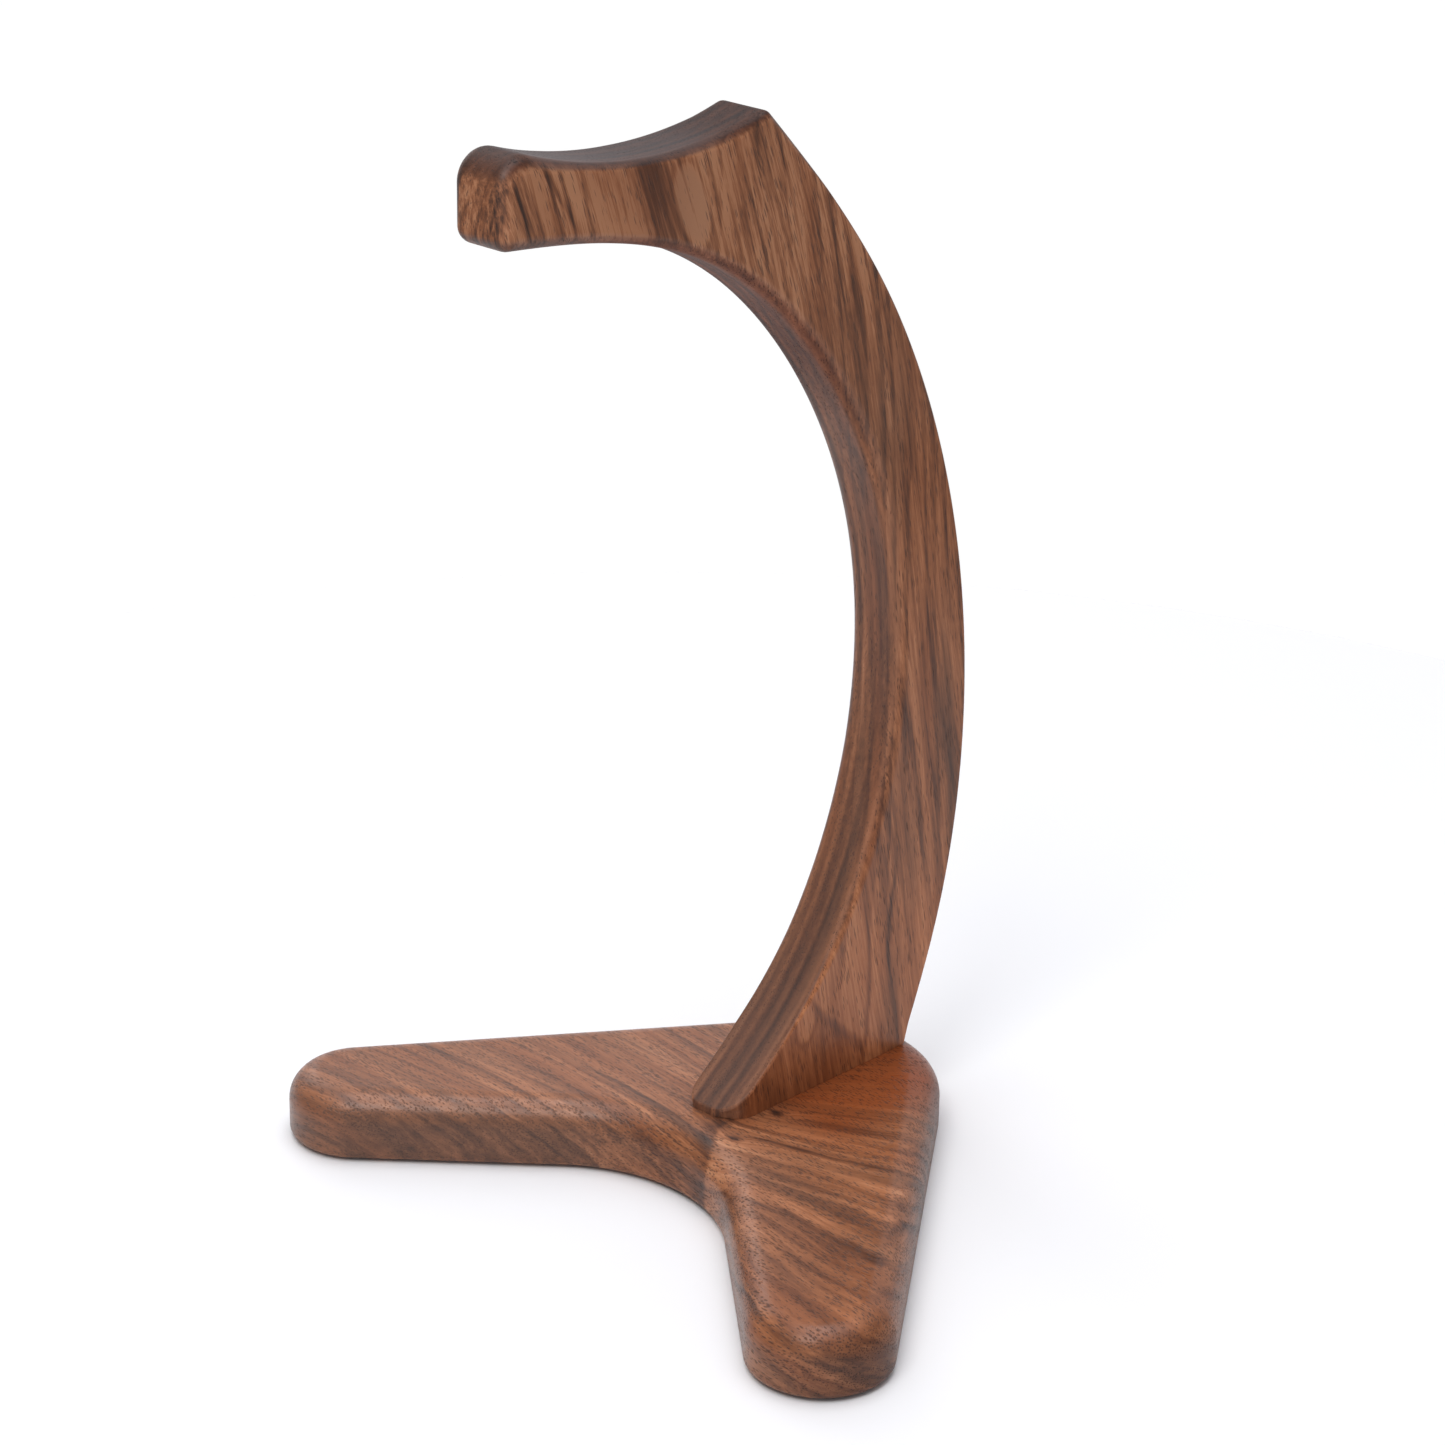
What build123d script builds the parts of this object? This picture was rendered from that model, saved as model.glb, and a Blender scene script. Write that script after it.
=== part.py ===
"""Headphone stand in solid walnut: a wishbone-shaped base and a C-shaped arm bolted on from below.

Frame: millimetres, +Z up, Z=0 on the table. X=0 is the plane of symmetry and the middle of the arm.
-Y is the front, where the legs open and the saddle's nose points. The origin is the middle of the
footprint's box. Every wooden piece is cut from board of one thickness.
"""
from build123d import *
import math
import os

# ---------------------------------------------------------------- driving dimensions
BOARD = 18.5            # 3/4 in walnut board after sanding
PAD_PROUD = 0.7         # how far the felt pads lift the base off the table

# base: outline of two legs that meet in a round heel
HEEL_Y = 40.3           # centre of the heel's arc
HEEL_R = 35.0
TIP_X = 87.5            # centre of each leg's rounded tip
TIP_Y = -52.9
TIP_R = 19.5
CROTCH_Y = -63.6        # centre of the arc that rounds the inner corner between the legs
CROTCH_R = 46.6
BASE_TOP_ROUND = 8.6    # soft round over of the upper edge
BASE_BOTTOM_ROUND = 2.0

# arm: side profile, as (y, z) points
BASE_BOTTOM = PAD_PROUD
BASE_TOP = BASE_BOTTOM + BOARD
NOSE_Y = -86.9          # front face of the nose
BACK_CORNER = (4.1, 299.0)
SADDLE_LOW = (-33.0, 294.0)
SADDLE_FRONT_Z = 305.0  # height of the saddle's arc where it would meet the nose's front face
NOSE_UNDER_Z = 279.0
TOE_Y = -3.0            # front of the foot
TOE_WALL = 2.3          # height of the toe's upright front wall
FOOT_BACK_Y = 67.0
BACK_POINTS = [(50.0, 244.6), (76.5, 189.0), (88.2, 120.0), (79.8, 53.9)]
INNER_POINTS = [(-51.0, 275.0), (-12.0, 261.7), (25.9, 229.6), (55.0, 172.5), (56.5, 111.0), (26.2, 46.9)]
NOSE_TOP_ROUND = 8.0
NOSE_BOTTOM_ROUND = 3.0
FRONT_EDGE_ROUND = 3.0  # round over along both sides of the saddle, the nose and the inner curve
BACK_EDGE_ROUND = 1.2   # round over along both sides of the back
TOE_PLAN_R = 8.0        # rounding of the toe seen from above

# joint between arm and base: two bolts between two dowels, in one line
BOLT_Y = {"front": 29.0, "rear": 48.0}
DOWEL_Y = {"front": 16.0, "rear": 59.0}
BOLT_R = 2.5            # M5
BOLT_LENGTH = 25.0
HEAD_R = 4.25
HEAD_HEIGHT = 5.0
KEY_ACROSS_FLATS = 4.0
KEY_DEPTH = 2.5
WASHER_R = 5.0
WASHER_THICKNESS = 1.0
WASHER_HOLE_R = 2.65
COUNTERBORE_R = 5.6
COUNTERBORE_DEPTH = 7.0
CLEARANCE_HOLE_R = 2.75
INSERT_R = 4.0
INSERT_LENGTH = 14.0
INSERT_RIDGE = 0.4      # depth of the grooves between the insert's outer ridges
INSERT_RIDGES = 5
RUNNING_GAP = 0.03      # radial gap between a hidden piece and its hole
DOWEL_R = 3.0
DOWEL_LENGTH = 22.0
DOWEL_CHAMFER = 0.8
DOWEL_FLUTES = 12
FLUTE_R = 0.35
HOLE_SPARE = 0.5        # extra depth at the blind end of a hole

# felt pads, glued into shallow recesses
PAD_R = 7.0
PAD_RECESS = 1.0
PAD_PLACES = {"left": (-TIP_X, TIP_Y), "right": (TIP_X, TIP_Y), "heel": (0.0, 65.0)}


# ---------------------------------------------------------------- small helpers
def cylinder_up(x, y, z, radius, height):
    """A cylinder that stands on (x, y, z)."""
    return Pos(x, y, z) * Cylinder(radius, height, align=(Align.CENTER, Align.CENTER, Align.MIN))


def edges_in_plane(solid, axis, value):
    """The solid's edges that lie in the plane axis=value."""
    return solid.edges().filter_by_position(axis, value - 0.01, value + 0.01)


def touch_point(centre, radius, normal_angle):
    """The point of a circle where its outward normal has this angle."""
    return centre + Vector(math.cos(normal_angle), math.sin(normal_angle)) * radius


# ---------------------------------------------------------------- base
def base_outline():
    """Closed outline of the base, through the heel, both outer edges, both tips and the crotch."""
    heel = Vector(0, HEEL_Y)
    tip = Vector(TIP_X, TIP_Y)
    crotch = Vector(0, CROTCH_Y)

    # the outer edge touches the heel's circle and the tip's circle on the same side
    span = tip - heel
    outer = math.atan2(span.Y, span.X) + math.pi / 2 - math.asin((HEEL_R - TIP_R) / span.length)

    # the inner edge touches the tip's circle on one side and the crotch's circle on the other
    gap = crotch - tip
    inner = math.atan2(gap.Y, gap.X) + math.acos((TIP_R + CROTCH_R) / gap.length)
    crotch_start = touch_point(crotch, CROTCH_R, inner + math.pi)

    right = [
        ThreePointArc(touch_point(heel, HEEL_R, math.pi / 2),
                      touch_point(heel, HEEL_R, (math.pi / 2 + outer) / 2),
                      touch_point(heel, HEEL_R, outer)),
        Line(touch_point(heel, HEEL_R, outer), touch_point(tip, TIP_R, outer)),
        ThreePointArc(touch_point(tip, TIP_R, outer),
                      touch_point(tip, TIP_R, -math.pi / 4),
                      touch_point(tip, TIP_R, inner)),
        Line(touch_point(tip, TIP_R, inner), crotch_start),
        ThreePointArc(crotch_start,
                      touch_point(crotch, CROTCH_R, (inner + math.pi + math.pi / 2) / 2),
                      touch_point(crotch, CROTCH_R, math.pi / 2)),
    ]
    left = [mirror(edge, Plane.YZ) for edge in right]
    return make_face(Curve() + right + left)


def make_base():
    base = Pos(0, 0, BASE_BOTTOM) * extrude(base_outline(), BOARD)
    base = fillet(edges_in_plane(base, Axis.Z, BASE_TOP), BASE_TOP_ROUND)
    base = fillet(edges_in_plane(base, Axis.Z, BASE_BOTTOM), BASE_BOTTOM_ROUND)
    for y in BOLT_Y.values():
        base -= cylinder_up(0, y, 0, CLEARANCE_HOLE_R, BASE_TOP + 1)
        base -= cylinder_up(0, y, 0, COUNTERBORE_R, BASE_BOTTOM + COUNTERBORE_DEPTH)
    for y in DOWEL_Y.values():
        depth = DOWEL_LENGTH / 2 + HOLE_SPARE
        base -= cylinder_up(0, y, BASE_TOP - depth, DOWEL_R + RUNNING_GAP, depth + 1)
    for x, y in PAD_PLACES.values():
        base -= cylinder_up(x, y, 0, PAD_R + RUNNING_GAP, BASE_BOTTOM + PAD_RECESS)
    return base


# ---------------------------------------------------------------- arm
def arm_profile():
    """Side view of the arm in the YZ plane."""
    foot_back = (FOOT_BACK_Y, BASE_TOP)
    foot_front = (TOE_Y, BASE_TOP)
    toe_top = (TOE_Y, BASE_TOP + TOE_WALL)
    nose_bottom = (NOSE_Y, NOSE_UNDER_Z)
    nose_top = (NOSE_Y, SADDLE_FRONT_Z)
    edges = [
        Line(foot_back, foot_front),
        Line(foot_front, toe_top),
        Spline([toe_top] + INNER_POINTS[::-1] + [nose_bottom]),
        Line(nose_bottom, nose_top),
        ThreePointArc(nose_top, SADDLE_LOW, BACK_CORNER),
        Spline([BACK_CORNER] + BACK_POINTS + [foot_back]),
    ]
    return make_face(Plane.YZ * (Curve() + edges))


def edge_across(solid, y, z):
    """The edge across the arm's thickness that passes nearest to (y, z)."""
    return solid.edges().filter_by(Axis.X).sort_by_distance(Vector(0, y, z))[0]


def side_edges(arm, back):
    """The edges round the arm's two sides: along its back, or all the others above the toe."""
    chosen = []
    for x in (-BOARD / 2, BOARD / 2):
        for edge in edges_in_plane(arm, Axis.X, x):
            middle = edge.position_at(0.5)
            on_back = middle.Y > FOOT_BACK_Y
            if middle.Z > BASE_TOP + TOE_WALL and on_back == back:
                chosen.append(edge)
    return chosen


def make_arm():
    arm = extrude(arm_profile(), BOARD / 2, both=True, dir=(1, 0, 0))
    arm = fillet(edge_across(arm, NOSE_Y, SADDLE_FRONT_Z), NOSE_TOP_ROUND)
    arm = fillet(edge_across(arm, NOSE_Y, NOSE_UNDER_Z), NOSE_BOTTOM_ROUND)

    # the toe is rounded in plan
    toe_edges = arm.edges().filter_by(Axis.Z).sort_by(Axis.Z)[:2]
    arm = fillet(toe_edges, TOE_PLAN_R)
    arm = fillet(side_edges(arm, back=False), FRONT_EDGE_ROUND)
    arm = fillet(side_edges(arm, back=True), BACK_EDGE_ROUND)

    for y in BOLT_Y.values():
        arm -= cylinder_up(0, y, BASE_TOP - 1, INSERT_R, INSERT_LENGTH + 1)
        arm -= cylinder_up(0, y, BASE_TOP - 1, CLEARANCE_HOLE_R, INSERT_LENGTH + 3)
    for y in DOWEL_Y.values():
        arm -= cylinder_up(0, y, BASE_TOP - 1, DOWEL_R + RUNNING_GAP, DOWEL_LENGTH / 2 + HOLE_SPARE + 1)
    return arm


# ---------------------------------------------------------------- hidden joint pieces
def make_bolt(y):
    """Socket head bolt, its head down in the counterbore."""
    seat = BASE_BOTTOM + COUNTERBORE_DEPTH - WASHER_THICKNESS
    head = cylinder_up(0, y, seat - HEAD_HEIGHT, HEAD_R, HEAD_HEIGHT)
    head = chamfer(edges_in_plane(head, Axis.Z, seat - HEAD_HEIGHT), 0.4)
    key = RegularPolygon(KEY_ACROSS_FLATS / 2, 6, major_radius=False)
    head -= Pos(0, y, seat - HEAD_HEIGHT) * extrude(key, KEY_DEPTH)
    shank = cylinder_up(0, y, seat, BOLT_R - RUNNING_GAP, BOLT_LENGTH)
    shank = chamfer(edges_in_plane(shank, Axis.Z, seat + BOLT_LENGTH), 0.6)
    return head + shank


def make_washer(y):
    seat = BASE_BOTTOM + COUNTERBORE_DEPTH - WASHER_THICKNESS
    washer = cylinder_up(0, y, seat, WASHER_R, WASHER_THICKNESS)
    return washer - cylinder_up(0, y, seat, WASHER_HOLE_R, WASHER_THICKNESS)


def make_insert(y):
    """Threaded insert pressed into the arm's foot, with ridges that grip the wood."""
    radius = INSERT_R - RUNNING_GAP
    insert = cylinder_up(0, y, BASE_TOP, radius, INSERT_LENGTH)
    pitch = INSERT_LENGTH / INSERT_RIDGES
    for ridge in range(INSERT_RIDGES - 1):
        z = BASE_TOP + pitch * (ridge + 0.8)
        ring = cylinder_up(0, y, z, radius + 1, pitch * 0.4)
        insert -= ring - cylinder_up(0, y, z, radius - INSERT_RIDGE, pitch * 0.4)
    return insert - cylinder_up(0, y, BASE_TOP, BOLT_R, INSERT_LENGTH)


def make_dowel(y):
    """Fluted beech dowel, half in the base and half in the arm."""
    bottom = BASE_TOP - DOWEL_LENGTH / 2
    dowel = cylinder_up(0, y, bottom, DOWEL_R, DOWEL_LENGTH)
    ends = edges_in_plane(dowel, Axis.Z, bottom) + edges_in_plane(dowel, Axis.Z, bottom + DOWEL_LENGTH)
    dowel = chamfer(ends, DOWEL_CHAMFER)
    for flute in range(DOWEL_FLUTES):
        angle = 2 * math.pi * flute / DOWEL_FLUTES
        x = DOWEL_R * math.cos(angle)
        dowel -= cylinder_up(x, y + DOWEL_R * math.sin(angle), bottom, FLUTE_R, DOWEL_LENGTH)
    return dowel


def make_pad(x, y):
    pad = cylinder_up(x, y, 0, PAD_R, PAD_PROUD + PAD_RECESS)
    return fillet(edges_in_plane(pad, Axis.Z, 0), 0.3)


# ---------------------------------------------------------------- write the nodes
nodes = {"base": make_base(), "arm": make_arm()}
for place, bolt_y in BOLT_Y.items():
    nodes["arm_bolt_" + place] = make_bolt(bolt_y)
    nodes["bolt_washer_" + place] = make_washer(bolt_y)
    nodes["threaded_insert_" + place] = make_insert(bolt_y)
for place, dowel_y in DOWEL_Y.items():
    nodes["locating_dowel_" + place] = make_dowel(dowel_y)
for place, (pad_x, pad_y) in PAD_PLACES.items():
    nodes["foot_pad_" + place] = make_pad(pad_x, pad_y)

os.makedirs("parts", exist_ok=True)
for name, shape in nodes.items():
    shape.label = name
    export_step(shape, "parts/" + name + ".step")
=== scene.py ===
"""Walnut headphone stand: the looks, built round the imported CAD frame.

The two wooden pieces are rebuilt as fine quad meshes with soft, hand-sanded edges, and every material is
a procedural solid texture, so the grain runs through each board. The object's sizes are in millimetres,
which MM turns into Blender's metres; the stage is in metres. +Z is up, X=0 is the middle of the arm, and
the saddle's nose points to -Y.
"""
import math

import bpy
import numpy as np
from mathutils import Matrix, Vector


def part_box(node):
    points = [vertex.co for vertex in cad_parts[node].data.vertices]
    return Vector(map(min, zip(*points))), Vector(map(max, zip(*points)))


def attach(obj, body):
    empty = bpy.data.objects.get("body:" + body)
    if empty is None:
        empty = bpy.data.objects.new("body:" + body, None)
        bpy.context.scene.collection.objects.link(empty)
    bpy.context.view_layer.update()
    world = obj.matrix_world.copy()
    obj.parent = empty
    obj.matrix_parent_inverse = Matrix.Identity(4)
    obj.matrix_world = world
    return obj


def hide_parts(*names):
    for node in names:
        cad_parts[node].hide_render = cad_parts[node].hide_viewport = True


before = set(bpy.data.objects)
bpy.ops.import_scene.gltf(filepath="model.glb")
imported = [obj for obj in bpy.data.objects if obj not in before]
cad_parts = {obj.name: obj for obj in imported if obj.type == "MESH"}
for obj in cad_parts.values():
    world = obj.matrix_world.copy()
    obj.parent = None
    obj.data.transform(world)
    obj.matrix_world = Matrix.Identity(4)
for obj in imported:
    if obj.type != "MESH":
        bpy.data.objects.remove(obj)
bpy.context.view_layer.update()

MM = 0.001

# ---------------------------------------------------------------- sizes, in millimetres
ARM_LOW, ARM_HIGH = [np.array(corner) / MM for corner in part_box("arm")]
BASE_LOW = np.array(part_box("base")[0]) / MM
BASE_BOTTOM = BASE_LOW[2]
BASE_TOP = ARM_LOW[2]
HALF = ARM_HIGH[0]          # half the thickness of the arm's board

# base outline, the same arcs as in the CAD model
HEEL_Y, HEEL_R = 40.3, 35.0
TIP_X, TIP_Y, TIP_R = 87.5, -52.9, 19.5
CROTCH_Y, CROTCH_R = -63.6, 46.6
BASE_TOP_ROUND = 8.6
BASE_BOTTOM_ROUND = 2.0

# arm profile, the same (y, z) points as in the CAD model
NOSE_Y = ARM_LOW[1]
BACK_CORNER = (4.1, 299.0)
SADDLE_LOW = (-33.0, 294.0)
SADDLE_R = 137.2
NOSE_UNDER_Z = 279.0
TOE_Y = -3.0
TOE_WALL = 2.3
TOE_PLAN_R = 8.5            # round corner of the toe on the right, seen from above
TOE_FAR_R = 4.5             # and on the left
FOOT_BACK_Y = 67.0
BACK_POINTS = [(50.0, 244.6), (76.5, 189.0), (88.2, 120.0), (79.8, 53.9)]
INNER_POINTS = [(-51.0, 275.0), (-12.0, 261.7), (25.9, 229.6), (55.0, 172.5), (56.5, 111.0), (26.2, 46.9)]
NOSE_TOP_ROUND = 8.0
NOSE_BOTTOM_ROUND = 4.3
BACK_CORNER_ROUND = 2.7
TOE_ROUND = 0.9

# holes of the joint, as in the CAD model: y places and radii
BOLT_PLACES = (29.0, 48.0)
DOWEL_PLACES = (16.0, 59.0)
PAD_PLACES = ((-TIP_X, TIP_Y), (TIP_X, TIP_Y), (0.0, 65.0))
COUNTERBORE_R, COUNTERBORE_DEPTH = 5.6, 7.0
BOLT_HOLE_R = 2.75
INSERT_R, INSERT_DEPTH = 4.0, 14.0
DOWEL_HOLE_R, DOWEL_DEPTH = 3.03, 11.5
PAD_HOLE_R, PAD_RECESS = 7.03, 1.0


# ---------------------------------------------------------------- curves
def spline(points, step=0.1):
    """Natural cubic spline through points, as closely spaced samples."""
    knots = np.array(points, float)
    t = np.concatenate([[0], np.cumsum(np.linalg.norm(np.diff(knots, axis=0), axis=1))])
    h = np.diff(t)
    count = len(knots)
    system = np.eye(count)
    right = np.zeros((count, 2))
    for i in range(1, count - 1):
        system[i, i - 1:i + 2] = h[i - 1], 2 * (h[i - 1] + h[i]), h[i]
        right[i] = 6 * ((knots[i + 1] - knots[i]) / h[i] - (knots[i] - knots[i - 1]) / h[i - 1])
    bend = np.linalg.solve(system, right)
    u = np.linspace(0, t[-1], int(t[-1] / step) + 1)
    i = np.clip(np.searchsorted(t, u, side="right") - 1, 0, count - 2)
    a, b, w = (t[i + 1] - u)[:, None], (u - t[i])[:, None], h[i][:, None]
    return (bend[i] * a ** 3 + bend[i + 1] * b ** 3) / (6 * w) \
        + (knots[i] / w - bend[i] * w / 6) * a + (knots[i + 1] / w - bend[i + 1] * w / 6) * b


def line(start, end, step=0.1):
    """Closely spaced points on a straight line."""
    start, end = np.array(start, float), np.array(end, float)
    count = max(2, int(np.linalg.norm(end - start) / step) + 1)
    return start + (end - start) * np.linspace(0, 1, count)[:, None]


def arc(centre, radius, first, last, count=60):
    """Points on a circle, between two angles in radians."""
    angles = np.linspace(first, last, count)
    return np.array(centre) + radius * np.column_stack([np.cos(angles), np.sin(angles)])


def full_circle(centre, radius, count):
    """Evenly spaced points round a whole circle, without doubling the first."""
    return arc(centre, radius, 0, 2 * math.pi * (count - 1) / count, count)


def left_normals(points):
    """Unit normals on the left of the direction of travel."""
    along = np.gradient(points, axis=0)
    along /= np.linalg.norm(along, axis=1)[:, None] + 1e-12
    return np.column_stack([-along[:, 1], along[:, 0]])


def round_corner(before, after, radius):
    """Rounds the corner of two curves, whose inside is on the left. Returns before, the arc and after."""
    inside_a = before + left_normals(before) * radius
    inside_b = after + left_normals(after) * radius
    gap = np.linalg.norm(inside_a[:, None] - inside_b[None], axis=2)
    i, j = np.unravel_index(np.argmin(gap), gap.shape)
    centre = (inside_a[i] + inside_b[j]) / 2
    first = math.atan2(*(before[i] - centre)[::-1])
    turn = (math.atan2(*(after[j] - centre)[::-1]) - first) % (2 * math.pi)
    return before[:i + 1], arc(centre, radius, first, first + turn), after[j:]


def resample(points, count):
    """The curve again, as count+1 evenly spaced points."""
    length = np.concatenate([[0], np.cumsum(np.linalg.norm(np.diff(points, axis=0), axis=1))])
    places = np.linspace(0, 1, count + 1) * length[-1]
    return np.column_stack([np.interp(places, length, points[:, k]) for k in (0, 1)])


# ---------------------------------------------------------------- meshes
DRILL_SIDES = 48


def make_object(name, verts, faces, material):
    """A smooth-shaded piece from points in millimetres."""
    mesh = bpy.data.meshes.new(name)
    mesh.from_pydata([tuple(v * MM) for v in verts], [], faces)
    mesh.validate()
    mesh.materials.append(material)
    mesh.polygons.foreach_set("use_smooth", [True] * len(mesh.polygons))
    piece = bpy.data.objects.new(name, mesh)
    bpy.context.scene.collection.objects.link(piece)
    return piece


def fill_between(bottom, top, left, right):
    """Grid of points inside four boundary curves.

    bottom and top run the same way, left joins their starts and right joins their ends. The grid is ruled
    from bottom to top, and follows left and right only close to them.
    """
    u = np.linspace(0, 1, len(bottom))[:, None, None]
    v = np.linspace(0, 1, len(left))[None, :, None]
    ruled = (1 - v) * bottom[:, None] + v * top[:, None]
    return ruled + (1 - u) ** 9 * (left - ruled[0])[None] + u ** 9 * (right - ruled[-1])[None]


def drill(piece, holes):
    """Cuts upright round holes (x, y, low z, high z, radius), all in millimetres."""
    count = DRILL_SIDES
    sides = [(i, (i + 1) % count, count + (i + 1) % count, count + i) for i in range(count)]
    ends = [tuple(range(count - 1, -1, -1)), tuple(range(count, 2 * count))]
    for x, y, low, high, radius in holes:
        mesh = bpy.data.meshes.new("drill")
        ring = full_circle((x, y), radius, count)
        verts = [(p[0] * MM, p[1] * MM, z * MM) for z in (low, high) for p in ring]
        mesh.from_pydata(verts, [], sides + ends)
        tool = bpy.data.objects.new("drill", mesh)
        bpy.context.scene.collection.objects.link(tool)
        cut = piece.modifiers.new("hole", "BOOLEAN")
        cut.object = tool
        cut.solver = "EXACT"
        graph = bpy.context.evaluated_depsgraph_get()
        result = bpy.data.meshes.new_from_object(piece.evaluated_get(graph))
        piece.modifiers.clear()
        old = piece.data
        piece.data = result
        bpy.data.meshes.remove(old)
        bpy.data.objects.remove(tool)
        bpy.data.meshes.remove(mesh)


def finish_normals(piece):
    """Smooth shading with crisp hole rims: flat faces keep their own direction."""
    piece.data.set_sharp_from_angle(angle=math.radians(50))
    weighted = piece.modifiers.new("normals", "WEIGHTED_NORMAL")
    weighted.keep_sharp = True
    weighted.weight = 80


# ---------------------------------------------------------------- arm
ROUND_STEPS = 8             # faces across one round over
FLAT_STEPS = 6              # faces across the flat between two round overs
RING_POINTS = 2 * (ROUND_STEPS + 1) + FLAT_STEPS - 1
THIN = 0.12                 # round over where an edge is left crisp
TOE_REACH = 40              # the toe's plan is rounded up to this height over the base


def arm_stretches():
    """The arm's side profile, anticlockwise from the foot's back to the toe, in nine stretches."""
    saddle_centre_z = SADDLE_LOW[1] + SADDLE_R
    top_angle = math.atan2(BACK_CORNER[1] - saddle_centre_z, BACK_CORNER[0] - SADDLE_LOW[0])
    back = spline([BACK_CORNER] + BACK_POINTS + [(FOOT_BACK_Y, BASE_TOP)])[::-1]
    saddle_end = math.acos((NOSE_Y - SADDLE_LOW[0]) / SADDLE_R)
    saddle = arc((SADDLE_LOW[0], saddle_centre_z), SADDLE_R, top_angle, -saddle_end, 1200)
    front = line((NOSE_Y, saddle[-1][1]), (NOSE_Y, NOSE_UNDER_Z))
    inner = spline([(NOSE_Y, NOSE_UNDER_Z)] + INNER_POINTS + [(TOE_Y, BASE_TOP + TOE_WALL)])
    wall = line((TOE_Y, BASE_TOP + TOE_WALL), (TOE_Y, BASE_TOP), 0.02)
    back, back_corner, saddle = round_corner(back, saddle, BACK_CORNER_ROUND)
    saddle, nose_top, front = round_corner(saddle, front, NOSE_TOP_ROUND)
    front, nose_bottom, inner = round_corner(front, inner, NOSE_BOTTOM_ROUND)
    inner, toe_corner, wall = round_corner(inner, wall, TOE_ROUND)
    return back, back_corner, saddle, nose_top, front, nose_bottom, inner, toe_corner, wall


def join(*parts):
    """Curves end to end, as (points, radii), without the doubled points between them."""
    points = [parts[0][0]] + [p[1:] for p, _ in parts[1:]]
    radii = [parts[0][1]] + [r[1:] for _, r in parts[1:]]
    return np.vstack(points), np.concatenate(radii)


def stretch(points, count, stops):
    """A curve in count steps, and its round over's radius, which runs straight from stop to stop."""
    fractions, radii = np.array(stops).T
    return resample(points, count), np.interp(np.linspace(0, 1, count + 1), fractions, radii)


def arm_chains():
    """The arm's profile as four chains of (points, radii), anticlockwise: outer, nose, inner and foot.

    Opposite chains have the same number of steps: 352 along the arm, and 24 across it.
    """
    back, back_corner, saddle, nose_top, front, nose_bottom, inner, toe_corner, wall = arm_stretches()
    half_top = len(nose_top) // 2
    half_bottom = len(nose_bottom) // 2
    inner_stops = [(0, 4.0), (0.1, 3.0), (0.3, 3.9), (0.7, 4.0), (0.85, 2.4), (0.93, 0.8), (1, 0.8)]
    outer = join(stretch(back, 250, [(0, THIN), (0.02, 1.1), (0.9, 1.3), (1, 2.6)]),
                 stretch(back_corner, 10, [(0, 2.6), (1, 2.6)]),
                 stretch(saddle, 84, [(0, 2.6), (0.12, 3.1), (0.5, 2.1), (0.8, 2.4), (1, 4)]),
                 stretch(nose_top[:half_top + 1], 8, [(0, 4), (1, 4.2)]))
    nose = join(stretch(nose_top[half_top:], 8, [(0, 4.2), (1, 4.2)]),
                stretch(front, 10, [(0, 4.2), (1, 4.2)]),
                stretch(nose_bottom[:half_bottom + 1], 6, [(0, 4.2), (1, 4.2)]))
    inner = join(stretch(nose_bottom[half_bottom:], 6, [(0, 4.2), (1, 4.0)]),
                 stretch(inner, 334, inner_stops),
                 stretch(toe_corner, 6, [(0, 0.8), (1, 0.5)]),
                 stretch(wall, 6, [(0, 0.5), (1, THIN)]))
    foot = stretch(line((TOE_Y, BASE_TOP), (FOOT_BACK_Y, BASE_TOP)), 24, [(0, THIN), (1, THIN)])
    return outer, nose, inner, foot


def inward_steps(loop):
    """Steps into the board from each point of its profile, lengthened at corners as a mitre needs."""
    ahead = np.roll(loop, -1, axis=0) - loop
    behind = loop - np.roll(loop, 1, axis=0)
    ahead /= np.linalg.norm(ahead, axis=1)[:, None]
    behind /= np.linalg.norm(behind, axis=1)[:, None]
    along = ahead + behind
    along /= np.linalg.norm(along, axis=1)[:, None]
    inward = np.column_stack([-along[:, 1], along[:, 0]])
    return inward / np.maximum(np.einsum("ij,ij->i", along, ahead), 0.5)[:, None]


def arm_rings(loop, inward, radii):
    """A ring of points across the board's thickness for each point of its profile, and the faces between."""
    quarter = np.linspace(0, math.pi / 2, ROUND_STEPS + 1)
    verts = []
    for point, step, radius in zip(loop, inward, radii):
        flat = np.linspace(-1, 1, FLAT_STEPS + 1)[1:-1] * (HALF - radius)
        side = [(1 - math.cos(a), HALF - radius + radius * math.sin(a)) for a in quarter]
        ring = [(s, -x) for s, x in side[::-1]] + [(0, x) for x in flat] + side
        verts += [(x, *(point + step * radius * s)) for s, x in ring]
    count = len(loop)
    faces = []
    for i in range(count):
        for k in range(RING_POINTS - 1):
            a, b = i * RING_POINTS + k, (i + 1) % count * RING_POINTS + k
            faces.append((a, a + 1, b + 1, b))
    return verts, faces


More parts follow.
